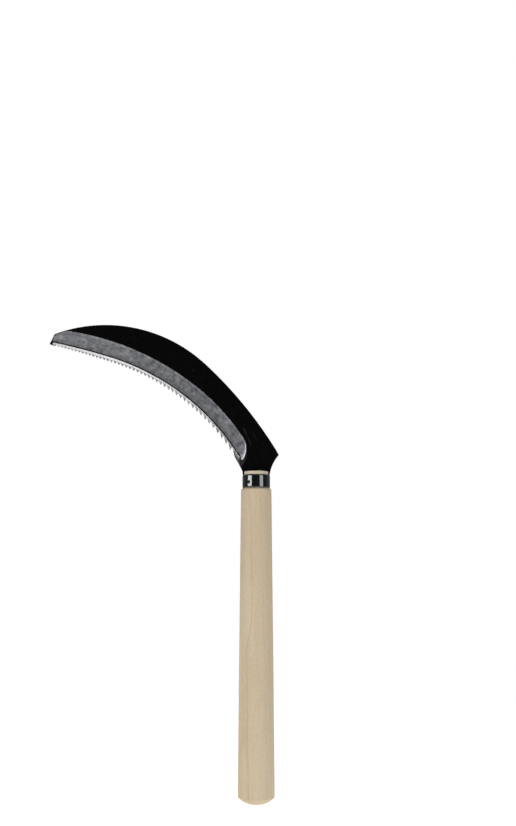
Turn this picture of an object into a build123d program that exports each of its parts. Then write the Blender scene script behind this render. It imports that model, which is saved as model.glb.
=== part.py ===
from build123d import *

from math import cos, radians, sin, sqrt, tan
import os

# Serrated hand sickle: a curved, saw-toothed steel blade whose tang sits in a turned wooden handle,
# with a black ring and a small tack at the joint.
#
# Frame, in millimetres: +Z runs up the handle's axis, the blade sweeps towards -X in the XZ plane,
# and its ground bevel faces -Y. The origin is the middle of the small flat on the butt.

# Handle
butt_diameter = 27.05
butt_flat_diameter = 8.0
butt_dome_height = 5.0
butt_dome_swell = 0.9
butt_rim_radius = 1.4
parallel_height = 14.0
shoulder_diameter = 22.2
shoulder_height = 230.4
shoulder_chamfer = 1.1
neck_diameter = 17.6
neck_stand = 2.65
neck_top_chamfer = 0.6

# Ferrule and its tack
ferrule_diameter = 20.2
ferrule_height = 9.7
ferrule_edge_radius = 0.5
tack_angle = 33.0
tack_height = 4.2
tack_shank_diameter = 1.8
tack_head_diameter = 2.8
tack_head_height = 0.35
tack_head_rounding = 0.28
tack_length = 7.0

# Blade, a flat steel plate; its outline's points are (X, Z)
plate_thickness = 2.0
spine_tip = (-147.1, 342.84)
spine_tip_angle = 20.3
spine_joint = (-37.15, 321.03)
heel_corner = (16.5, 254.7)
tip_point = (-151.0, 335.7)
neck_right = 9.85
neck_left = -9.8
neck_curve_radius = 27.1
neck_bend = (-10.2, 243.1)
inner_heel = (-12.7, 248.0)

# Tang and the mortise that holds it
tang_length = 90.0
tang_root_width = 12.0
tang_end_width = 6.0
mortise_clearance = 0.1

# Toothed edge: two arcs that share a tangent at edge_joint, with teeth that widen towards the heel
edge_joint = (-104.5, 321.85)
edge_slope = radians(18.1)
edge_outer_radius = 733.0
edge_inner_radius = 167.6
tooth_count = 48
first_tooth_x = -146.9
tooth_pitch_at_tip = 2.45
tooth_pitch_growth = 0.00715
tooth_rise_at_tip = 1.0
tooth_rise_at_heel = 2.2

# Bevel: a shallow cone about an axis parallel to Y. At the heel it ends in a rounded run-out, whose
# arc leads tangentially into a straight stretch that leans back over the blade.
bevel_centre = (-162.9, 157.3)
bevel_radius = 189.3
bevel_width = 20.0
bevel_angle = radians(6.4)
run_out_centre = (-22.4, 259.5)
run_out_radius = 15.0
run_out_slope = 50.0
run_out_lean = radians(26)
ground_length = 220.0
ground_height = 120.0

# Cutting shapes pass the surfaces that they cut by this much, and selections reach this far
overrun = 1.0

# Worked out from the values above
half_plate = plate_thickness / 2
ferrule_top = shoulder_height + ferrule_height
neck_top = ferrule_top + neck_stand
tang_bottom = ferrule_top - tang_length
tack_out = (-sin(radians(tack_angle)), -cos(radians(tack_angle)), 0)
ferrule_radius = ferrule_diameter / 2
tack_seat = (tack_out[0] * ferrule_radius, tack_out[1] * ferrule_radius, shoulder_height + tack_height)
tack_plane = Plane(origin=tack_seat, x_dir=(0, 0, 1), z_dir=tack_out)


def edge_height(x):
    """Height of the line through the tooth tips at x."""
    radius = edge_outer_radius if x < edge_joint[0] else edge_inner_radius
    centre_x = edge_joint[0] - radius * sin(edge_slope)
    centre_z = edge_joint[1] - radius * cos(edge_slope)
    return centre_z + sqrt(radius**2 - (x - centre_x) ** 2)


def tooth_x(tooth):
    """Place of a tooth's tip along X; a half number is the root after it."""
    return first_tooth_x + tooth * tooth_pitch_at_tip + tooth**2 * tooth_pitch_growth


def tooth_outline():
    """Tooth tips and roots from the blade's tip to its heel."""
    points = []
    for tooth in range(tooth_count):
        tip = (tooth_x(tooth), edge_height(tooth_x(tooth)))
        points.append(tip)
        along = tooth / (tooth_count - 1)
        rise = tooth_rise_at_tip + along * (tooth_rise_at_heel - tooth_rise_at_tip)
        if tooth < tooth_count - 1:
            points.append((tooth_x(tooth + 0.5), tip[1] + rise))
    return points


def tang_line(clearance):
    """Outline of the tang from the ferrule's top down and back up, widened by a clearance."""
    half_root = tang_root_width / 2 + clearance
    half_end = tang_end_width / 2 + clearance
    bottom = tang_bottom - clearance
    return [(-half_root, ferrule_top), (-half_end, bottom), (half_end, bottom), (half_root, ferrule_top)]


os.makedirs("parts", exist_ok=True)

# Bevel: the cone's rim, kept only inside the ground area and sloping out of the plate at its border
with BuildPart() as bevel_cutter:
    with BuildSketch(Plane.XY.offset(bevel_centre[1])) as wedge:
        rim_x = bevel_centre[0] + bevel_radius
        inner_x = rim_x - bevel_width
        with BuildLine():
            Polyline(
                (rim_x, -half_plate),
                (inner_x, -half_plate + bevel_width * tan(bevel_angle)),
                (inner_x, -half_plate - overrun),
                (rim_x, -half_plate - overrun),
                close=True,
            )
        make_face()
    revolve(axis=Axis((bevel_centre[0], 0, bevel_centre[1]), (0, 1, 0)))
    ground_plane = Plane(
        origin=(run_out_centre[0], half_plate, run_out_centre[1]),
        x_dir=(cos(run_out_lean), 0, sin(run_out_lean)),
        z_dir=(0, -1, 0),
    )
    with BuildSketch(ground_plane) as ground_area:
        back_radius = run_out_radius - plate_thickness * tan(radians(run_out_slope))
        Circle(back_radius)
        with Locations((back_radius, 0)):
            Rectangle(ground_length, ground_height, align=(Align.MAX, Align.MIN))
    extrude(amount=plate_thickness + 2 * overrun, taper=-run_out_slope, mode=Mode.INTERSECT)

# Blade: plate outline with the tang, less the bevel
with BuildPart() as blade:
    with BuildSketch(Plane.XZ) as plate:
        with BuildLine() as outline:
            tip_direction = (cos(radians(spine_tip_angle)), sin(radians(spine_tip_angle)))
            outer_spine = TangentArc(spine_tip, spine_joint, tangent=tip_direction)
            TangentArc(spine_joint, heel_corner, tangent=outer_spine % 1)
            RadiusArc((neck_right, ferrule_top), heel_corner, neck_curve_radius)
            Polyline((neck_right, ferrule_top), *reversed(tang_line(0)), (neck_left, ferrule_top), neck_bend)
            Polyline(neck_bend, inner_heel, *reversed(tooth_outline()), tip_point, spine_tip)
        make_face()
    extrude(amount=half_plate, both=True)
    add(bevel_cutter.part, mode=Mode.SUBTRACT)
blade.part.label = "blade"
export_step(blade.part, "parts/blade.step")

# Handle: turned profile, slot for the blade's neck, mortise for the tang, hole for the tack
with BuildPart() as handle:
    with BuildSketch(Plane.XZ) as turning:
        butt_radius = butt_diameter / 2
        flat_radius = butt_flat_diameter / 2
        shoulder_radius = shoulder_diameter / 2
        neck_radius = neck_diameter / 2
        grip_top = (shoulder_radius, shoulder_height - shoulder_chamfer)
        with BuildLine():
            Line((0, 0), (flat_radius, 0))
            SagittaArc((flat_radius, 0), (butt_radius, butt_dome_height), -butt_dome_swell)
            Polyline(
                (butt_radius, butt_dome_height),
                (butt_radius, parallel_height),
                grip_top,
                (shoulder_radius - shoulder_chamfer, shoulder_height),
                (neck_radius, shoulder_height),
                (neck_radius, neck_top - neck_top_chamfer),
                (neck_radius - neck_top_chamfer, neck_top),
                (0, neck_top),
                (0, 0),
            )
        make_face()
    revolve(axis=Axis.Z)
    rim_band = (butt_dome_height - overrun, butt_dome_height + overrun)
    butt_rim = handle.edges().filter_by(GeomType.CIRCLE).filter_by_position(Axis.Z, *rim_band)
    fillet(butt_rim, butt_rim_radius)
    with BuildSketch(Plane.XZ) as mortise:
        with BuildLine():
            Polyline(*tang_line(mortise_clearance), close=True)
        make_face()
        with Locations((0, ferrule_top)):
            Rectangle(neck_diameter + 2 * overrun, neck_stand + overrun, align=(Align.CENTER, Align.MIN))
    extrude(amount=half_plate, both=True, mode=Mode.SUBTRACT)
    with Locations(tack_plane):
        Hole(tack_shank_diameter / 2, depth=tack_length)
handle.part.label = "handle"
export_step(handle.part, "parts/handle.step")

# Ferrule: a plain ring with rounded rims and a hole for the tack
with BuildPart() as ferrule:
    with BuildSketch(Plane.XY.offset(shoulder_height)) as ring:
        Circle(ferrule_radius)
        Circle(neck_diameter / 2, mode=Mode.SUBTRACT)
    extrude(amount=ferrule_height)
    outer_rims = ferrule.edges().filter_by(GeomType.CIRCLE).group_by(SortBy.RADIUS)[-1]
    fillet(outer_rims, ferrule_edge_radius)
    with Locations(tack_plane):
        Hole(tack_shank_diameter / 2, depth=tack_length)
ferrule.part.label = "ferrule"
export_step(ferrule.part, "parts/ferrule.step")

# Tack: round shank with a low domed head on the ferrule's outside
with BuildPart() as ferrule_tack:
    with BuildSketch(tack_plane) as shank:
        Circle(tack_shank_diameter / 2)
    extrude(amount=-tack_length)
    with BuildSketch(tack_plane) as head:
        Circle(tack_head_diameter / 2)
    extrude(amount=tack_head_height)
    head_rim = ferrule_tack.faces().sort_by(Axis(tack_seat, tack_out))[-1].edges()
    fillet(head_rim, tack_head_rounding)
ferrule_tack.part.label = "ferrule_tack"
export_step(ferrule_tack.part, "parts/ferrule_tack.step")
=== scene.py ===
from math import atan2, cos, hypot, pi, radians, sin, sqrt, tan

import bmesh
import bpy
import numpy as np
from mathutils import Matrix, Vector, geometry


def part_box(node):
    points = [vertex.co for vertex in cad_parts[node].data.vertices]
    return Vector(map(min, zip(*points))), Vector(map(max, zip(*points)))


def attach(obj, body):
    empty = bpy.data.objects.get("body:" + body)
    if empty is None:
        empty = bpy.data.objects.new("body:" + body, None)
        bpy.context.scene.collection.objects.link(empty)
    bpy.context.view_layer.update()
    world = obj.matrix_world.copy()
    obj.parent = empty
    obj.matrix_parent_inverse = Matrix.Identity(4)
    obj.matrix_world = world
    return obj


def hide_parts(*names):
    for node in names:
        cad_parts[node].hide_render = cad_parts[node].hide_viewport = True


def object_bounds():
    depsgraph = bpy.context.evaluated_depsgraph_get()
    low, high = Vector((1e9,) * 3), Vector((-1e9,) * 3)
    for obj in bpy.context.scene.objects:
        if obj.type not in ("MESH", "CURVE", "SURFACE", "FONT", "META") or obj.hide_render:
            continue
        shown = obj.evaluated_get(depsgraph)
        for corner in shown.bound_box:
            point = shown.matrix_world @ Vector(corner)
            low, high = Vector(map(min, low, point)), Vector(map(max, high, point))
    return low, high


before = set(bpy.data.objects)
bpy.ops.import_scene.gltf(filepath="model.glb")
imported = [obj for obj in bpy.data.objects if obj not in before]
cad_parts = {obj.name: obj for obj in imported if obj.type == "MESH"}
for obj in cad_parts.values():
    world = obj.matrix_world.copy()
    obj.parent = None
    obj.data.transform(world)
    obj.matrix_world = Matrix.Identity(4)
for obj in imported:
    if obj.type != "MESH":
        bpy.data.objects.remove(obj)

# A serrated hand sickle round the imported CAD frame. Lengths in the outlines are in millimetres and
# become metres in new_mesh_object. The blade lies in the XZ plane with its bevel facing -Y.

MM = 0.001
cad_low, cad_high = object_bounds()
blade_low, blade_high = (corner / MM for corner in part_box("blade"))
handle_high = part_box("handle")[1] / MM
ferrule_low, ferrule_high = (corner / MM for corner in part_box("ferrule"))
tack_low, tack_high = (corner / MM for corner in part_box("ferrule_tack"))

half_plate = blade_high.y
shoulder_z = ferrule_low.z
ferrule_top = ferrule_high.z
neck_top = handle_high.z
butt_radius = handle_high.x
ferrule_radius = ferrule_high.x

# Handle: radii of the butt's flat, the shoulder and the neck, and the shape of the butt's rim
butt_flat, shoulder_radius, handle_neck = 4.0, 11.1, 8.8
butt_rim_round, butt_rim_top = 1.4, 5.55
grip_start = 14.0
shoulder_chamfer = 1.1
mortise_gap = 0.1

# Tack, and the dent that it makes in the ferrule
tack_angle = radians(33)
tack_out = Vector((-sin(tack_angle), -cos(tack_angle), 0))
tack_seat = tack_out * ferrule_radius + Vector((0, 0, (tack_low.z + tack_high.z) / 2))
dent_radius, dent_depth = 2.6, 0.10

# ---------------------------------------------------------------- mesh helpers


def new_mesh_object(name, points, faces, materials, face_materials=None, smooth_angle=30):
    """A mesh object in metres from points in millimetres, smooth but for edges over the angle."""
    mesh = bpy.data.meshes.new(name)
    mesh.from_pydata([Vector(p) * MM for p in points], [], faces)
    for material in materials:
        mesh.materials.append(material)
    if face_materials is not None:
        mesh.polygons.foreach_set("material_index", face_materials)
    tidy = bmesh.new()
    tidy.from_mesh(mesh)
    bmesh.ops.recalc_face_normals(tidy, faces=tidy.faces)
    for edge in tidy.edges:
        sides = {face.material_index for face in edge.link_faces}
        edge.smooth = len(sides) == 1 and edge.calc_face_angle(0) < radians(smooth_angle)
    for face in tidy.faces:
        face.smooth = True
    tidy.to_mesh(mesh)
    tidy.free()
    piece = bpy.data.objects.new(name, mesh)
    bpy.context.collection.objects.link(piece)
    return piece


def add_attribute(piece, name, values):
    """A number for each vertex, which a material reads by name."""
    attribute = piece.data.attributes.new(name, "FLOAT", "POINT")
    attribute.data.foreach_set("value", np.asarray(values, np.float32))


def lathe(profile, segments):
    """Points and faces of a closed profile of (radius, height) turned about Z."""
    points, faces, rings = [], [], []
    for radius, height in profile:
        if radius < 1e-6:
            rings.append([len(points)] * segments)
            points.append((0, 0, height))
        else:
            rings.append(list(range(len(points), len(points) + segments)))
            for turn in range(segments):
                angle = 2 * pi * turn / segments
                points.append((radius * cos(angle), radius * sin(angle), height))
    for lower, upper in zip(rings, rings[1:]):
        for turn in range(segments):
            after = (turn + 1) % segments
            corners = [lower[turn], lower[after], upper[after], upper[turn]]
            faces.append(list(dict.fromkeys(corners)))
    return points, faces


def arc_points(centre, radius, start, end, steps):
    """Points along a circular arc from the start angle to the end angle, in degrees."""
    turns = [radians(start + (end - start) * step / steps) for step in range(steps + 1)]
    return [(centre[0] + radius * cos(turn), centre[1] + radius * sin(turn)) for turn in turns]


# ---------------------------------------------------------------- blade outlines, in X and Z


class TwoArcs:
    """A line of the blade: two arcs with one tangent at their joint, concave side down.

    slope is the tangent's angle below the horizontal at the joint."""

    def __init__(self, joint, slope, outer_radius, inner_radius):
        self.joint = joint
        self.along = (cos(radians(slope)), -sin(radians(slope)))
        self.radii = (outer_radius, inner_radius)
        self.centres = [
            (joint[0] - radius * sin(radians(slope)), joint[1] - radius * cos(radians(slope)))
            for radius in self.radii
        ]

    def height(self, x):
        side = 0 if x < self.joint[0] else 1
        reach = self.radii[side] ** 2 - (x - self.centres[side][0]) ** 2
        return self.centres[side][1] + sqrt(reach)

    def below(self, x, z):
        """Distance of a point under the line, negative above it."""
        ahead = (x - self.joint[0]) * self.along[0] + (z - self.joint[1]) * self.along[1]
        side = 0 if ahead < 0 else 1
        centre = self.centres[side]
        return self.radii[side] - hypot(x - centre[0], z - centre[1])

    def points(self, start, end, step):
        count = max(2, round(abs(end - start) / step))
        return [
            (x, self.height(x)) for x in (start + (end - start) * k / count for k in range(count + 1))
        ]


spine = TwoArcs((-37.15, 321.03), 42.74, 107.2, 300.1)
bevel_top = TwoArcs((-40.43, 301.94), 39.64, 196.6, 151.4)
hone_line = TwoArcs((-106.2, 326.94), 17.15, 476.6, 170.6)
tooth_tips = TwoArcs((-104.5, 321.85), 18.1, 733.0, 167.6)

# Corners of the outline, and the tang
tip_top = (-147.1, 342.84)
tip_point = (-151.0, 335.7)
heel_corner = (16.5, 254.7)
neck_right, neck_left = 9.85, -9.8
neck_curve_radius = 27.1
neck_bend = (-10.2, 243.1)
inner_heel = (-12.7, 248.0)
tang_half_root, tang_half_end, tang_bottom = 6.0, 3.0, blade_low.z

# Teeth, whose pitch and rise grow towards the heel
tooth_count, first_tooth_x = 48, -146.9
tooth_pitch_at_tip, tooth_pitch_growth = 2.45, 0.00715
tooth_rise_at_tip, tooth_rise_at_heel = 1.0, 2.2

# Front: from bevel_top down the bevel, from hone_line down a groove and the honed strip. At the heel
# the bevel runs out in a rounded slope, with a small enamelled facet outside it
bevel_angle = radians(5.2)
hone_angle = radians(20.0)
hone_groove_width = 1.0
hone_groove_depth = 0.12
hone_width = 1.9
run_out_centre = (-22.4, 259.5)
run_out_radius = 15.0
run_out_turns = (-50.0, 26.0)
run_out_width = 3.6
run_out_low = 251.2
run_out_angle = radians(14.5)
facet_centre = (-23.7, 256.7)
facet_radius = 16.7
facet_turns = (-48.0, 12.0)
facet_top = 260.2
facet_seen_top = 256.5
facet_angle = radians(14)
facet_width = 2.0

# Grooves between the teeth on the back, and how far up the edge's wall is bare
back_groove_depth = 0.3
back_groove_length = 3.2
edge_teeth_height = 2.6

# Dark marks: the blade's black point, a rim round the tip, and an upright line below the last tooth
tip_black = (-148.6, 338.9)
rim_width, rim_end, tip_rim_across = 0.6, -137.0, 0.72
heel_line_x, heel_line_half, heel_lines_top = -11.8, 0.6, 253.8

# Mesh: spacing of the free points, of the outline's and the guide lines' points, the guide lines'
# ends in X, and how far they go up from a tooth's tip and root
mesh_spacing, outline_step, guide_step = 1.5, 1.6, 1.4
bevel_guide, hone_guide, groove_guide = (-139.0, -11.4), (-148.0, -14.5), (-147.6, -14.0)
tip_guide, root_guide = 3.6, 2.4


def tooth_x(tooth):
    """Place of a tooth's tip along X; a half number is the root after it."""
    return first_tooth_x + tooth * tooth_pitch_at_tip + tooth**2 * tooth_pitch_growth


def tooth_number(x):
    """The tooth at x, with its fraction: tooth_x the other way round."""
    half = tooth_pitch_at_tip / 2
    return (sqrt(max(0.0, half**2 + tooth_pitch_growth * (x - first_tooth_x))) - half) / tooth_pitch_growth


def tooth_rise(tooth):
    return tooth_rise_at_tip + (tooth_rise_at_heel - tooth_rise_at_tip) * tooth / (tooth_count - 1)


def tooth_tip(tooth):
    return (tooth_x(tooth), tooth_tips.height(tooth_x(tooth)))


def tooth_root(tooth):
    return (tooth_x(tooth + 0.5), tooth_tip(tooth)[1] + tooth_rise(tooth))


def neck_arc(start, end, radius, steps):
    """The hollow curve from the heel's corner down to the ferrule."""
    half = hypot(end[0] - start[0], end[1] - start[1]) / 2
    reach = sqrt(radius**2 - half**2)
    middle = ((start[0] + end[0]) / 2, (start[1] + end[1]) / 2)
    centre = (
        middle[0] + reach * (start[1] - end[1]) / (2 * half),
        middle[1] - reach * (start[0] - end[0]) / (2 * half),
    )
    turns = [atan2(p[1] - centre[1], p[0] - centre[0]) % (2 * pi) * 180 / pi for p in (start, end)]
    return arc_points(centre, radius, turns[0], turns[1], steps)


def blade_outline():
    """The blade's outline as one closed run of points, from the tip along the spine."""
    points = [tip_top]
    points += spine.points(tip_top[0], heel_corner[0], outline_step)[1:-1] + [heel_corner]
    points += neck_arc(heel_corner, (neck_right, ferrule_top), neck_curve_radius, 10)[1:]
    points += [(tang_half_root, ferrule_top)]
    points += [(tang_half_end, tang_bottom), (-tang_half_end, tang_bottom)]
    points += [(-tang_half_root, ferrule_top), (neck_left, ferrule_top)]
    points += [neck_bend, inner_heel]
    for tooth in reversed(range(tooth_count)):
        points += [tooth_root(tooth), tooth_tip(tooth)] if tooth < tooth_count - 1 else [tooth_tip(tooth)]
    return points + [tip_point]


def inside_arc(x, z, centre, radius, turns):
    """Distance of a point inside an arc between two angles, or inside the tangents at its ends."""
    away = (x - centre[0], z - centre[1])
    turn = min(max(atan2(away[1], away[0]), radians(turns[0])), radians(turns[1]))
    return radius - away[0] * cos(turn) - away[1] * sin(turn)


def run_out_inside(x, z):
    """Distance of a point inside the ground area's rounded end, large away from it."""
    if x < run_out_centre[0]:
        return 100.0
    return inside_arc(x, z, run_out_centre, run_out_radius, run_out_turns)


def facet_inside(x, z):
    """Distance of a point inside the enamelled facet's outer border, negative outside it."""
    return inside_arc(x, z, facet_centre, facet_radius, facet_turns)


def front_depth(x, z):
    """How far the grinding takes the front down at a point, from the plate's full thickness."""
    bevel = bevel_top.below(x, z)
    hone = hone_line.below(x, z)
    depth = max(0.0, bevel) * tan(bevel_angle)
    depth += min(max(0.0, hone - hone_groove_width), hone_width) * (tan(hone_angle) - tan(bevel_angle))
    if 0.0 < hone < hone_groove_width:
        depth += hone_groove_depth * (1 - abs(2 * hone / hone_groove_width - 1))
    end = max(0.0, run_out_inside(x, z)) * tan(run_out_angle)
    if x > run_out_centre[0] and z < facet_top:
        end += min(max(0.0, facet_inside(x, z)), facet_width) * tan(facet_angle)
    return min(depth, end)


def back_depth(x, z):
    """Depth of the tooth grooves in the flat back, which fade out above the roots."""
    if not tooth_x(-0.5) < x < tooth_x(tooth_count - 0.5):
        return 0.0
    across = 2 * abs(tooth_number(x) - round(tooth_number(x)))
    above = tooth_tips.below(x, z) + back_groove_length
    return back_groove_depth * across * min(1.0, max(0.0, above / back_groove_length))


def inside_outline(outline, x, z):
    """Whether a point lies inside a closed run of points."""
    inside = False
    for (ax, az), (bx, bz) in zip(outline, outline[1:] + outline[:1]):
        if (az > z) != (bz > z) and x < ax + (z - az) * (bx - ax) / (bz - az):
            inside = not inside
    return inside


def run_out_line(radius):
    """The ground area's rounded end, with the straight stretch that leads up to the bevel's top."""
    low, high = run_out_turns
    arc = arc_points(run_out_centre, radius, high, low, 20)
    lead = []
    for reach in (6.0, 4.5, 3.0, 1.5):
        lead.append((arc[0][0] - reach * sin(radians(high)), arc[0][1] + reach * cos(radians(high))))
    return lead + arc


def run_out_crease():
    """Where the run-out's slope meets the bevel, from its top down to the heel."""
    crease = []
    for turn in np.radians(np.linspace(run_out_turns[1], run_out_turns[0], 16)):
        inset = 0.0
        for _ in range(12):
            radius = run_out_radius - inset
            point = (run_out_centre[0] + radius * cos(turn), run_out_centre[1] + radius * sin(turn))
            inset = max(0.0, bevel_top.below(*point)) * tan(bevel_angle) / tan(run_out_angle)
            inset = min(inset, run_out_width)
        crease.append(point)
    return crease


def guide_lines():
    """Runs of points that the blade's triangles follow: where its surfaces meet."""
    lines = [
        bevel_top.points(*bevel_guide, guide_step),
        run_out_line(run_out_radius),
        run_out_line(run_out_radius - 0.8),
        run_out_crease(),
        [(heel_line_x + heel_line_half + reach, run_out_low) for reach in (0.0, 0.7, 1.4, 2.1)],
        [(x, spine.height(x) - rim_width) for x in np.linspace(-146.0, rim_end, 9)],
        hone_line.points(*hone_guide, guide_step),
    ]
    for side in (-1, 1):
        x = heel_line_x + side * heel_line_half
        lines.append([(x, heel_lines_top - drop) for drop in (0.0, 1.4, 2.8, 4.2)])
    tip_rim = []
    for share in (0.1, 0.35, 0.6, 0.85):
        x = tip_point[0] + tip_rim_across + share * (tip_top[0] - tip_point[0])
        tip_rim.append((x, tip_point[1] + share * (tip_top[1] - tip_point[1])))
    lines.append(tip_rim)
    for share in (0.5, 1.0):
        lower = []
        for x, z in hone_line.points(*groove_guide, guide_step):
            lean = atan2(hone_line.height(x + 0.5) - z, 0.5)
            drop = hone_groove_width * share
            lower.append((x + drop * sin(lean), z - drop * cos(lean)))
        lines.append(lower)
    lines.append(arc_points(facet_centre, facet_radius, facet_turns[1], facet_turns[0], 10))
    lines.append([tooth_root(tooth) for tooth in range(tooth_count - 1)])
    for tooth in range(1, tooth_count - 1):
        for start in (tooth_tip(tooth), tooth_root(tooth)):
            reach = tip_guide if start == tooth_tip(tooth) else root_guide
            lines.append([start, (start[0], start[1] + reach / 2), (start[0], start[1] + reach)])
    return lines


def blade_triangles(spacing):
    """A flat mesh of the blade's outline: points in X and Z, triangles."""
    outline = blade_outline()
    coordinates = [Vector(p) for p in outline]
    constraints = []
    for line in guide_lines():
        kept = [p for p in line if inside_outline(outline, *p) or p in outline]
        start = len(coordinates)
        coordinates += [Vector(p) for p in kept]
        constraints += [(k, k + 1) for k in range(start, start + len(kept) - 1)]
    taken = np.array([tuple(p) for p in coordinates])
    row_height = spacing * sqrt(3) / 2
    rows = int((blade_high.z - blade_low.z) / row_height)
    columns = int((blade_high.x - blade_low.x) / spacing) + 1
    least_gap = spacing * 0.62
    filling = []
    for row in range(rows):
        for column in range(columns):
            x = blade_low.x + (column + row % 2 / 2) * spacing
            z = blade_low.z + row * row_height
            gap = np.hypot(taken[:, 0] - x, taken[:, 1] - z).min()
            if gap > least_gap and inside_outline(outline, x, z):
                filling.append(Vector((x, z)))
    border = [(k, (k + 1) % len(outline)) for k in range(len(outline))]
    found = geometry.delaunay_2d_cdt(coordinates + filling, border + constraints, [], 0, 1e-4, False)
    flat = [tuple(p) for p in found[0]]
    triangles = []
    for a, b, c in found[2]:
        middle = [sum(flat[k][axis] for k in (a, b, c)) / 3 for axis in (0, 1)]
        if inside_outline(outline, *middle):
            triangles.append([a, b, c])
    used = sorted({corner for triangle in triangles for corner in triangle})
    place = {corner: k for k, corner in enumerate(used)}
    return [flat[corner] for corner in used], [[place[corner] for corner in t] for t in triangles]


ENAMEL, GROUND, LINE, HONED, TOOTH, RUN_OUT, FACET = range(7)


def tip_inside(x, z):
    """Distance from the slanted end of the blade's tip, positive inside the blade."""
    along = (tip_top[0] - tip_point[0], tip_top[1] - tip_point[1])
    return (along[1] * (x - tip_point[0]) - along[0] * (z - tip_point[1])) / hypot(*along)


def front_material(x, z):
    """Which material the front has at a point."""
    end = run_out_inside(x, z)
    # The facet's enamel is lighter than the rest: painted light, as on a slope turned towards the lamps
    if end < 0 < facet_inside(x, z) and z < facet_seen_top and x > run_out_centre[0]:
        return FACET
    if bevel_top.below(x, z) < 0 or end < 0:
        return ENAMEL
    if x < tip_black[0] and z < tip_black[1]:
        return ENAMEL
    if tip_inside(x, z) < rim_width or (x < rim_end and spine.below(x, z) < rim_width):
        return LINE
    if z < heel_lines_top and x > tooth_tip(tooth_count - 1)[0]:
        if x < heel_line_x - heel_line_half:
            return TOOTH
        if x < heel_line_x + heel_line_half:
            return LINE
        # Below run_out_low the slope takes the facet's lighter enamel, the same painted light
        return RUN_OUT if z > run_out_low else FACET
    if tooth_tips.below(x, z) > -tooth_rise_at_heel and below_roots(x, z):
        return TOOTH
    hone = hone_line.below(x, z)
    if hone > hone_groove_width:
        return HONED
    if end < run_out_width and end * tan(run_out_angle) < bevel_top.below(x, z) * tan(bevel_angle):
        return RUN_OUT
    return LINE if hone > 0 else GROUND


def below_roots(x, z):
    """Whether a point lies under the line through the tooth roots."""
    tooth = min(max(tooth_number(x) - 0.5, 0), tooth_count - 2)
    before, share = int(tooth), tooth - int(tooth)
    left, right = tooth_root(before), tooth_root(min(before + 1, tooth_count - 2))
    return z < left[1] + share * (right[1] - left[1])


def make_blade(materials):
    """The front and back of the blade and the wall between them, with its attributes."""
    flat, triangles = blade_triangles(mesh_spacing)
    count = len(flat)
    points, below, along, above_line = [], [], [], []
    for x, z in flat:
        points.append((x, -half_plate + front_depth(x, z), z))
    for x, z in flat:
        points.append((x, half_plate - back_depth(x, z), z))
    for x, z in flat * 2:
        below.append(bevel_top.below(x, z))
        above_line.append(-hone_line.below(x, z))
        centre = bevel_top.centres[1]
        along.append(atan2(z - centre[1], x - centre[0]) * bevel_top.radii[1])
    faces, kinds = [], []
    border = {}
    for a, b, c in triangles:
        middle = [sum(flat[k][axis] for k in (a, b, c)) / 3 for axis in (0, 1)]
        faces.append([a, b, c])
        kinds.append(front_material(*middle))
        faces.append([c + count, b + count, a + count])
        in_grooves = tooth_tips.below(*middle) > -back_groove_length
        kinds.append(TOOTH if in_grooves and middle[0] < inner_heel[0] else ENAMEL)
        for edge in ((a, b), (b, c), (c, a)):
            border[tuple(sorted(edge))] = None if tuple(sorted(edge)) in border else edge
    for edge in filter(None, border.values()):
        a, b = edge
        faces.append([b, a, a + count, b + count])
        on_teeth = tooth_tips.below(*flat[a]) > -edge_teeth_height
        kinds.append(TOOTH if on_teeth and flat[a][0] < inner_heel[0] else ENAMEL)
    piece = new_mesh_object("sickle_blade", points, faces, materials, kinds, smooth_angle=22)
    add_attribute(piece, "below_bevel_top", below)
    add_attribute(piece, "along_blade", along)
    add_attribute(piece, "above_line", above_line)
    return piece


# ---------------------------------------------------------------- materials


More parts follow.
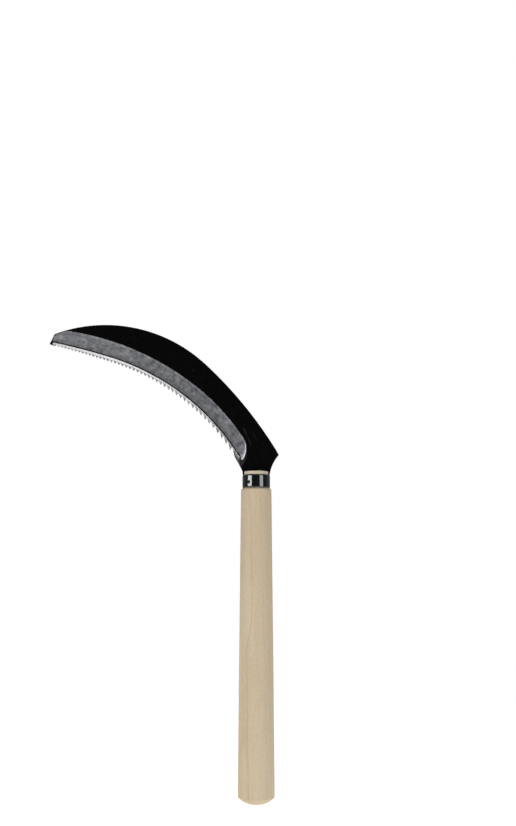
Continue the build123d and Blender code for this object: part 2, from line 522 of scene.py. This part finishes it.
class Nodes:
    """A material's node tree, with short ways to add and join nodes."""

    def __init__(self, name):
        self.material = bpy.data.materials.new(name)
        self.material.use_nodes = True
        self.tree = self.material.node_tree
        self.shader = self.tree.nodes["Principled BSDF"]

    def add(self, kind, settings=None, **inputs):
        node = self.tree.nodes.new("ShaderNode" + kind)
        for name, value in (settings or {}).items():
            setattr(node, name, value)
        for name, value in inputs.items():
            self.plug(node, name.replace("_", " "), value)
        return node

    def plug(self, node, socket, value):
        if isinstance(value, bpy.types.NodeSocket):
            self.tree.links.new(value, node.inputs[socket])
        elif isinstance(value, tuple) and node.inputs[socket].type == "RGBA":
            node.inputs[socket].default_value = (*value, 1)
        else:
            node.inputs[socket].default_value = value

    def set(self, **inputs):
        """Links or values for the shader's own sockets."""
        for name, value in inputs.items():
            self.plug(self.shader, name.replace("_", " "), value)

    def maths(self, operation, a, b=0.0):
        node = self.add("Math", {"operation": operation})
        self.plug(node, 0, a)
        self.plug(node, 1, b)
        return node.outputs[0]

    def plus(self, a, b):
        return self.maths("ADD", a, b)

    def minus(self, a, b):
        return self.maths("SUBTRACT", a, b)

    def times(self, a, b):
        return self.maths("MULTIPLY", a, b)

    def gap(self, a, b):
        """How far apart two values are."""
        return self.maths("ABSOLUTE", self.minus(a, b))

    def ramp(self, factor, *stops):
        """A colour ramp through stops of (place, level or colour)."""
        node = self.add("ValToRGB", Fac=factor)
        elements = node.color_ramp.elements
        while len(elements) < len(stops):
            elements.new(0.5)
        for element, (place, colour) in zip(elements, stops):
            element.position = place
            level = isinstance(colour, (int, float))
            element.color = (colour, colour, colour, 1) if level else (*colour, 1)
        return node.outputs["Color"]

    def noise(self, vector, scale, detail=2.0, roughness=0.5):
        node = self.add("TexNoise", Vector=vector, Scale=scale, Detail=detail, Roughness=roughness)
        return node.outputs["Fac"]

    def stretched(self, x=1, y=1, z=1):
        """Object coordinates scaled along each axis."""
        place = self.add("TexCoord").outputs["Object"]
        return self.add("Mapping", Vector=place, Scale=(x, y, z)).outputs["Vector"]

    def blend(self, factor, a, b, mode="MIX"):
        node = self.add("Mix", {"data_type": "RGBA", "blend_type": mode})
        self.plug(node, 0, factor)
        self.plug(node, 6, a)
        self.plug(node, 7, b)
        return node.outputs[2]

    def tinted(self, colour, tint, share=1.0):
        """The colour multiplied by a tint, as strongly as share says."""
        return self.blend(share, colour, tint, "MULTIPLY")

    def bump(self, height, strength, distance):
        node = self.add("Bump", Height=height, Strength=strength, Distance=distance)
        self.set(Normal=node.outputs["Normal"])

    def scratch(self, start, end, width):
        """One on a thin line between two points in X and Z, in millimetres, zero away from it."""
        place = self.add("SeparateXYZ", Vector=self.add("TexCoord").outputs["Object"])
        length = hypot(end[0] - start[0], end[1] - start[1])
        along = ((end[0] - start[0]) / length, (end[1] - start[1]) / length)
        x = self.minus(self.times(place.outputs["X"], 1 / MM), start[0])
        z = self.minus(self.times(place.outputs["Z"], 1 / MM), start[1])
        across = self.gap(self.times(x, along[1]), self.times(z, along[0]))
        reach = self.plus(self.times(x, along[0]), self.times(z, along[1]))
        thin = self.ramp(self.times(across, 1 / width), (0.2, 1.0), (1.0, 0.0))
        from_middle = self.gap(reach, length / 2)
        fade = self.ramp(self.times(from_middle, 1 / length), (0.3, 1.0), (0.56, 0.0))
        return self.times(thin, fade)


def srgb(*levels):
    """A linear colour from screen levels of 0 to 255."""
    return tuple(
        ((level / 255 + 0.055) / 1.055) ** 2.4 if level > 10 else level / 3294 for level in levels
    )


steel_light, steel_dark = (0.76, 0.765, 0.80), (0.31, 0.31, 0.33)
steel_violet, steel_green = (0.97, 0.95, 1.0), (0.96, 1.0, 0.97)
dark_line = (0.16, 0.155, 0.17)
scratch_grey = (0.03, 0.03, 0.031)
wood_light, wood_dark = srgb(197, 183, 160), srgb(189, 172, 147)
wood_line = srgb(140, 112, 84)
neck_wood = srgb(200, 190, 172)

# The steel's shading in millimetres: along the blade, in from the bevel's borders, and the dashes
along_scale = 200.0
border_scale = 4.0
dashes_below = 2.1

# The ring line down the handle's front, in metres: it steps to the left between these heights
ring_step_low, ring_step_high = 0.110, 0.137
ring_x_low, ring_x_high = -0.0069, -0.0030
ring_lean, ring_x_shift = -0.012, 0.0014
neck_wood_from = 0.239

# Scratches in the enamel as start and end in X and Z, half width and strength
enamel_scratches = [
    ((-9.4, 274.2), (-6.9, 269.4), 0.45, 0.95),
    ((-6.9, 269.4), (-3.6, 261.6), 0.38, 0.50),
    ((-2.8, 271.2), (0.9, 264.6), 0.35, 0.32),
    ((-46.6, 316.6), (-45.8, 315.8), 0.7, 0.30),
]


def enamel_material(name="black_enamel", level=0.0012, scratched=True):
    """Black paint with a fine texture, rubbed spots and a few faint scratches."""
    nodes = Nodes(name)
    mottle = nodes.noise(nodes.stretched(), 420, 3)
    scuffs = nodes.noise(nodes.stretched(60, 30, 14), 6, 4, 0.6)
    colour = nodes.ramp(scuffs, (0.0, level), (0.66, level * 1.3), (0.78, level * 2.6))
    if scratched:
        for start, end, width, strength in enamel_scratches:
            mark = nodes.times(nodes.scratch(start, end, width), strength)
            colour = nodes.blend(mark, colour, scratch_grey)
    nodes.set(Base_Color=colour, Roughness=nodes.ramp(mottle, (0.3, 0.24), (0.7, 0.31)))
    nodes.set(IOR=1.45, Specular_IOR_Level=0.17)
    nodes.bump(mottle, 0.06, 0.0002)
    return nodes.material


def steel_material(name, light, dark, rough, strength, bevel=False, at_heel=1.0):
    """Bare ground steel: soft blotches, a fine sparkle and drawn-out streaks along the blade.

    strength is the bump's. at_heel scales the colour at the heel, fading out over a third of the
    blade. The bevel also has violet and green hints, a painted highlight along its top border, a
    colour that darkens towards the hone line and a dashed dark line."""
    nodes = Nodes(name)
    along, below, above = (
        nodes.add("Attribute", {"attribute_name": attribute}).outputs["Fac"]
        for attribute in ("along_blade", "below_bevel_top", "above_line")
    )
    place = nodes.add("CombineXYZ", X=nodes.times(along, 0.22), Y=nodes.times(below, 1.3))
    streaks = nodes.noise(place.outputs["Vector"], 1.0, 3, 0.6)
    blotches = nodes.noise(nodes.stretched(), 260, 2, 0.5)
    sparkle = nodes.noise(nodes.stretched(), 900, 3, 0.7)
    grain = nodes.plus(nodes.times(streaks, 0.35), nodes.times(blotches, 0.35))
    grain = nodes.plus(grain, nodes.times(sparkle, 0.30))
    colour = nodes.ramp(grain, (0.38, dark), (0.62, light))
    if at_heel < 1.0:
        shown = nodes.ramp(nodes.times(along, 1 / along_scale), (0.42, at_heel), (0.62, 1.0))
        colour = nodes.tinted(colour, shown)
    if bevel:
        hints = nodes.noise(nodes.stretched(), 330, 1)
        colour = nodes.tinted(colour, nodes.ramp(hints, (0.4, steel_violet), (0.6, steel_green)))
        # Painted highlight: the bevel's top millimetre is lighter, standing in for light caught where it
        # meets the enamel
        upper = nodes.times(below, 1 / border_scale)
        upper = nodes.ramp(upper, (0.0, 1.0), (0.26, 1.0), (0.36, 0.88), (0.8, 0.88))
        colour = nodes.tinted(colour, upper)
        lower = nodes.times(above, 1 / border_scale)
        lower = nodes.ramp(lower, (0.0, 0.66), (0.3, 0.80), (0.85, 1.0))
        colour = nodes.tinted(colour, lower)
        dash_place = nodes.add("CombineXYZ", X=nodes.times(along, 0.16), Y=3.7)
        dashes = nodes.noise(dash_place.outputs["Vector"], 1.0, 2, 0.5)
        dashes = nodes.ramp(dashes, (0.46, 0.0), (0.56, 1.0))
        line = nodes.ramp(nodes.gap(below, dashes_below), (0.15, 1.0), (0.6, 0.0))
        marked = nodes.times(nodes.times(line, dashes), 0.5)
        colour = nodes.blend(marked, colour, dark_line)
    roughness = nodes.ramp(grain, (0.3, rough - 0.05), (0.7, rough + 0.07))
    nodes.set(Base_Color=colour, Metallic=1.0, Roughness=roughness)
    nodes.bump(grain, strength, 0.0002)
    return nodes.material


def wood_material():
    """Pale close-grained wood: a fine speckle, faint fibres, one darker ring line down the front."""
    nodes = Nodes("pale_wood")
    place = nodes.add("TexCoord").outputs["Object"]
    parts = nodes.add("SeparateXYZ", Vector=place)
    waver = nodes.noise(nodes.stretched(30, 30, 14), 1.0, 2)
    sway = nodes.times(nodes.minus(waver, 0.5), 0.004)
    shift = nodes.add("CombineXYZ", X=sway)
    bent = nodes.add("VectorMath", {"operation": "ADD"})
    nodes.plug(bent, 0, place)
    nodes.plug(bent, 1, shift.outputs["Vector"])
    from_pith = nodes.add(
        "Mapping", Vector=bent.outputs["Vector"],
        Location=(-0.034, -0.030, 0), Rotation=(0.0, radians(0.9), 0),
    )
    rings = nodes.add(
        "TexWave", {"wave_type": "RINGS", "rings_direction": "Z", "wave_profile": "SAW"},
        Vector=from_pith.outputs["Vector"], Scale=70, Distortion=0.5, Detail=2.0, Detail_Scale=1.4,
    ).outputs["Fac"]
    ring_stops = [(0.0, 1.0), (0.80, (0.985, 0.975, 0.965)), (0.95, (0.93, 0.90, 0.87)), (1.0, 1.0)]
    speckle = nodes.noise(nodes.stretched(z=0.55), 1050, 3, 0.75)
    fibre = nodes.noise(nodes.stretched(1300, 1300, 40), 1.0, 3, 0.6)
    clouds = nodes.noise(nodes.stretched(60, 60, 14), 1.0, 2)
    pink = nodes.noise(nodes.stretched(z=0.6), 950, 2, 0.6)
    straw = nodes.noise(nodes.stretched(0.8, 0.8, 0.5), 1100, 2, 0.6)
    base = nodes.ramp(clouds, (0.3, wood_dark), (0.7, wood_light))
    for share, tint in (
        (0.7, nodes.ramp(rings, *ring_stops)),
        (0.8, nodes.ramp(speckle, (0.32, (0.84, 0.83, 0.81)), (0.68, 1.0))),
        (0.45, nodes.ramp(fibre, (0.3, (0.92, 0.91, 0.89)), (0.6, 1.0))),
        (1.0, nodes.ramp(pink, (0.38, (1.0, 0.92, 0.92)), (0.62, (0.95, 1.0, 0.99)))),
        (1.0, nodes.ramp(straw, (0.38, (1.0, 1.0, 0.93)), (0.62, 1.0))),
    ):
        base = nodes.tinted(base, tint, share)
    above_ferrule = nodes.times(nodes.minus(parts.outputs["Z"], neck_wood_from), 500)
    above_ferrule = nodes.ramp(above_ferrule, (0.0, 0.0), (0.5, 1.0))
    base = nodes.blend(nodes.times(above_ferrule, 0.6), base, neck_wood)
    step = nodes.add("MapRange", {"interpolation_type": "SMOOTHSTEP"}, Value=parts.outputs["Z"])
    for socket, value in (
        ("From Min", ring_step_low), ("From Max", ring_step_high),
        ("To Min", ring_x_low), ("To Max", ring_x_high),
    ):
        nodes.plug(step, socket, value)
    lean = nodes.plus(nodes.times(parts.outputs["Z"], ring_lean), ring_x_shift)
    line_x = nodes.plus(nodes.plus(step.outputs[0], lean), nodes.times(sway, 0.25))
    from_line = nodes.times(nodes.gap(parts.outputs["X"], line_x), 1 / MM)
    line = nodes.ramp(from_line, (0.10, 1.0), (0.62, 0.0))
    front = nodes.ramp(nodes.times(parts.outputs["Y"], -200.0), (0.2, 0.0), (0.6, 1.0))
    broken = nodes.ramp(nodes.noise(nodes.stretched(z=24), 3.0, 2), (0.3, 0.35), (0.6, 1.0))
    lower_part = nodes.ramp(nodes.times(parts.outputs["Z"], 4.0), (0.66, 1.0), (0.76, 0.25))
    mark = nodes.times(nodes.times(line, front), nodes.times(broken, lower_part))
    base = nodes.blend(nodes.times(mark, 0.34), base, wood_line)
    pores = nodes.noise(nodes.stretched(900, 900, 90), 1.0, 1)
    pores = nodes.ramp(pores, (0.72, 0.0), (0.78, 1.0))
    base = nodes.blend(nodes.times(pores, 0.22), base, wood_line)
    nodes.set(Base_Color=base, Roughness=nodes.ramp(fibre, (0.3, 0.66), (0.7, 0.58)))
    nodes.set(Specular_IOR_Level=0.45)
    height = nodes.plus(nodes.times(fibre, 0.5), nodes.times(speckle, 0.5))
    nodes.bump(nodes.plus(height, nodes.times(pores, -0.5)), 0.2, 0.0002)
    return nodes.material


def ferrule_material():
    """Glossy black, with a slight ripple that bends its reflections."""
    nodes = Nodes("gloss_black")
    ripple = nodes.noise(nodes.stretched(z=0.6), 170, 2)
    colour = nodes.ramp(ripple, (0.3, (0.004, 0.004, 0.0045)), (0.7, (0.007, 0.007, 0.008)))
    nodes.set(Base_Color=colour, Roughness=nodes.ramp(ripple, (0.3, 0.07), (0.7, 0.11)))
    nodes.set(IOR=1.5, Coat_Weight=0.7, Coat_Roughness=0.04)
    nodes.bump(ripple, 0.10, 0.0003)
    return nodes.material


def tack_material():
    """Dull black."""
    nodes = Nodes("dark_tack")
    wear = nodes.noise(nodes.stretched(), 900, 3)
    colour = nodes.ramp(wear, (0.35, 0.003), (0.7, 0.007))
    nodes.set(Base_Color=colour, Roughness=nodes.ramp(wear, (0.3, 0.35), (0.7, 0.5)))
    nodes.set(Specular_IOR_Level=0.15)
    nodes.bump(wear, 0.15, 0.0001)
    return nodes.material


def floor_material():
    """White, and lit a little from within so that it stays as pale as the backdrop."""
    nodes = Nodes("white_floor")
    soft = nodes.noise(nodes.stretched(), 12, 2)
    nodes.set(Base_Color=nodes.ramp(soft, (0.3, 0.86), (0.7, 0.89)), Roughness=0.7)
    nodes.set(Emission_Color=(1, 1, 1), Emission_Strength=0.68)
    return nodes.material


# ---------------------------------------------------------------- handle, ferrule and tack


def handle_profile():
    """Half section of the handle from the butt to the top of its neck, as (radius, height)."""
    dome_height, dome_swell, dome_steps = 5.0, 0.9, 9
    profile = [(0.0, 0.0), (butt_flat / 2, 0.0), (butt_flat, 0.0)]
    chord = (butt_radius - butt_flat, dome_height)
    length = hypot(*chord)
    for step in range(1, dome_steps):
        share = step / dome_steps
        swell = dome_swell * 4 * share * (1 - share)
        radius = butt_flat + chord[0] * share + swell * chord[1] / length
        profile.append((radius, dome_height * share - swell * chord[0] / length))
    profile = [p for p in profile if p[0] < butt_radius - butt_rim_round * 0.8]
    rim_centre = (butt_radius - butt_rim_round, butt_rim_top)
    profile += arc_points(rim_centre, butt_rim_round, -52, 0, 6)
    profile += [(butt_radius, 9.8), (butt_radius, grip_start)]
    grip_end = shoulder_z - shoulder_chamfer
    for step in range(1, 55):
        share = step / 54
        radius = butt_radius + (shoulder_radius - butt_radius) * share
        profile.append((radius, grip_start + (grip_end - grip_start) * share))
    profile += [(shoulder_radius - 0.35, grip_end + 0.38), (shoulder_radius - 0.75, grip_end + 0.8)]
    profile += [(shoulder_radius - shoulder_chamfer, shoulder_z)]
    profile += [(handle_neck + 0.5, shoulder_z), (handle_neck, shoulder_z)]
    profile += [(handle_neck, shoulder_z + step * 1.5) for step in range(1, 8)]
    profile += [(handle_neck, neck_top - 0.6), (handle_neck - 0.17, neck_top - 0.2)]
    profile += [(handle_neck - 0.6, neck_top), (5.0, neck_top), (0.0, neck_top)]
    return profile


def cut_with(piece, cutter):
    """Cuts one mesh object out of another and removes the cutter."""
    modifier = piece.modifiers.new("cut", "BOOLEAN")
    modifier.operation = "DIFFERENCE"
    modifier.solver = "EXACT"
    modifier.object = cutter
    evaluated = piece.evaluated_get(bpy.context.evaluated_depsgraph_get())
    cut_mesh = bpy.data.meshes.new_from_object(evaluated)
    piece.modifiers.clear()
    piece.data = cut_mesh
    bpy.data.objects.remove(cutter)


def make_handle(material):
    """The turning, less a slot for the blade's neck and a mortise for its tang."""
    points, faces = lathe(handle_profile(), 128)
    piece = new_mesh_object("sickle_handle", points, faces, [material], smooth_angle=28)
    half_root, half_end = tang_half_root + mortise_gap, tang_half_end + mortise_gap
    slot_half, slot_top = 12, neck_top + 5
    right = [(half_end, tang_bottom - mortise_gap), (half_root, ferrule_top)]
    right += [(slot_half, ferrule_top), (slot_half, slot_top)]
    section = [(-x, z) for x, z in reversed(right)] + right
    count = len(section)
    walls = [(x, y, z) for y in (-half_plate, half_plate) for x, z in section]
    sides = [[k, (k + 1) % count, (k + 1) % count + count, k + count] for k in range(count)]
    ends = [list(range(count)), list(range(2 * count - 1, count - 1, -1))]
    cut_with(piece, new_mesh_object("slot_cutter", walls, sides + ends, []))
    return piece


def make_ferrule(material):
    """A rolled ring with rims turned in, dented a little where the tack is driven."""
    outer, inner, low, high = ferrule_radius, handle_neck, shoulder_z, ferrule_top
    segments, rim, rim_drop, rim_steps, wall_steps = 160, 1.7, 0.42, 9, 20
    turned_in = []
    for step in range(rim_steps + 1):
        share = step / rim_steps
        turned_in.append((rim * share, rim_drop * (1 - share) ** 3))
    profile = [(inner, high), (inner, (low + high) / 2), (inner, low)]
    profile += [(outer - drop, low + reach) for reach, drop in turned_in]
    for step in range(1, wall_steps):
        profile.append((outer, low + rim + (high - low - 2 * rim) * step / wall_steps))
    profile += [(outer - drop, high - reach) for reach, drop in reversed(turned_in)]
    # The profile comes back to its start, whose ring of points is used twice
    points, faces = lathe(profile + [(inner, high)], segments)
    seen = len(points) - segments
    points = points[:seen]
    faces = [[corner if corner < seen else corner - seen for corner in face] for face in faces]
    for k, (x, y, z) in enumerate(points):
        if hypot(x, y) > inner + 0.3:
            gap = hypot(x - tack_seat.x, y - tack_seat.y, z - tack_seat.z)
            pull = dent_depth * max(0.0, 1 - (gap / dent_radius) ** 2) ** 2 / hypot(x, y)
            points[k] = (x * (1 - pull), y * (1 - pull), z)
    return new_mesh_object("sickle_ferrule", points, faces, [material], smooth_angle=35)


def make_tack(material):
    """A round shank and a low domed head, turned about the tack's own axis."""
    head, shank, length, sink, edge, dome_rise = 1.35, 0.9, 7.0, 0.28, 0.12, 0.30
    profile = [(0.0, -length), (shank * 0.4, -length + 0.3), (shank, -length + 1.6)]
    profile += [(shank, -sink - 0.05), (head, -sink), (head, edge - sink)]
    for turn in range(15, 90, 15):
        height = edge - sink + dome_rise * sin(radians(turn))
        profile.append((head * cos(radians(turn)), height))
    points, faces = lathe(profile + [(0.0, edge - sink + dome_rise)], 40)
    turn = tack_out.to_track_quat("Z", "X").to_matrix()
    points = [turn @ Vector(p) + tack_seat for p in points]
    return new_mesh_object("sickle_tack", points, faces, [material], smooth_angle=40)


# ---------------------------------------------------------------- the object

blade_materials = [
    enamel_material(),
    steel_material("ground_steel", steel_light, steel_dark, 0.36, 0.10, bevel=True),
    steel_material("hone_shadow", (0.040, 0.036, 0.045), (0.02, 0.018, 0.023), 0.45, 0.1),
    steel_material("honed_steel", (0.90, 0.90, 0.91), (0.76, 0.76, 0.77), 0.28, 0.05, at_heel=0.6),
    steel_material("tooth_steel", (0.66, 0.67, 0.67), (0.42, 0.43, 0.43), 0.35, 0.1, at_heel=0.35),
    # The run-out is ground like the bevel; its steel is made lighter so its highlight shows brighter:
    # partly painted highlight
    steel_material("run_out_steel", (0.84, 0.84, 0.86), (0.36, 0.36, 0.38), 0.38, 0.3),
    # The facet's enamel is lighter than the blade's: painted light for a slope that faces the lamps
    enamel_material("facet_painted_sheen_enamel", 0.016, scratched=False),
]
blade = make_blade(blade_materials)
handle = make_handle(wood_material())
ferrule = make_ferrule(ferrule_material())
tack = make_tack(tack_material())

for piece, node, slot in (
    (blade, "blade", "blade_steel"),
    (handle, "handle", "handle_wood"),
    (ferrule, "ferrule", "ferrule_black"),
    (tack, "ferrule_tack", "tack_steel"),
):
    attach(piece, "root")
    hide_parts(node)

# ---------------------------------------------------------------- floor, lights and camera

floor_height, floor_radii = -0.05, (0.0, 300.0, 700.0)
floor_points, floor_faces = lathe([(radius, floor_height) for radius in floor_radii], 96)
floor = new_mesh_object("studio_floor", floor_points, floor_faces, [floor_material()])

# The camera sees a white backdrop. What reflects in the sickle is darker towards the front
world = bpy.data.worlds.new("studio")
bpy.context.scene.world = world
world.use_nodes = True
sky = world.node_tree
light_path = sky.nodes.new("ShaderNodeLightPath")
backdrop = sky.nodes["Background"]
backdrop.inputs["Color"].default_value = (0.97, 0.98, 1.0, 1)
direction = sky.nodes.new("ShaderNodeSeparateXYZ")
sky.links.new(sky.nodes.new("ShaderNodeTexCoord").outputs["Generated"], direction.inputs[0])
from_front = sky.nodes.new("ShaderNodeMapRange")
sky.links.new(direction.outputs["Y"], from_front.inputs["Value"])
from_front.interpolation_type = "SMOOTHSTEP"
for socket, value in (("From Min", -0.5), ("From Max", 0.6), ("To Min", 0.02), ("To Max", 0.22)):
    from_front.inputs[socket].default_value = value
sky.links.new(from_front.outputs[0], backdrop.inputs["Strength"])
seen_white = sky.nodes.new("ShaderNodeBackground")
seen_white.inputs["Color"].default_value = (1, 1, 1, 1)
seen_white.inputs["Strength"].default_value = 1.0
mixer = sky.nodes.new("ShaderNodeMixShader")
sky.links.new(light_path.outputs["Is Camera Ray"], mixer.inputs[0])
sky.links.new(backdrop.outputs[0], mixer.inputs[1])
sky.links.new(seen_white.outputs[0], mixer.inputs[2])
sky.links.new(mixer.outputs[0], sky.nodes["World Output"].inputs["Surface"])


def softbox(name, azimuth, distance, height, width, tall, power, aim_height=0.2):
    """An area light at an azimuth from the camera's side, positive to the right, aimed at the handle."""
    lamp = bpy.data.lights.new(name, "AREA")
    lamp.shape = "RECTANGLE"
    lamp.size, lamp.size_y, lamp.energy = width, tall, power
    stand = bpy.data.objects.new(name, lamp)
    turn = radians(azimuth)
    stand.location = (distance * sin(turn), -distance * cos(turn), height)
    aim = Vector((0, 0, aim_height)) - stand.location
    stand.rotation_mode = "QUATERNION"
    stand.rotation_quaternion = aim.to_track_quat("-Z", "Y")
    bpy.context.collection.objects.link(stand)


softbox("left_box", -55, 1.1, 0.38, 0.66, 0.45, 7.7)
softbox("right_box", 44, 1.2, 0.38, 0.60, 1.0, 8.8)
softbox("top_box", 180, 0.5, 1.3, 1.0, 1.0, 6.0, 0.1)

eye_lift = 0.0003
eye_height = (cad_low.z + cad_high.z) / 2 + eye_lift
scene = bpy.context.scene
camera_data = bpy.data.cameras.new("camera")
camera_data.type = "PERSP"
camera_data.lens = 52.0
camera_data.sensor_width = 36.0
camera_data.shift_y = 0.183
camera = bpy.data.objects.new("camera", camera_data)
camera.location = (0.0013, -0.871, eye_height)
camera.rotation_euler = (radians(90), 0, 0)
bpy.context.collection.objects.link(camera)
scene.camera = camera
scene.view_settings.view_transform = "Standard"
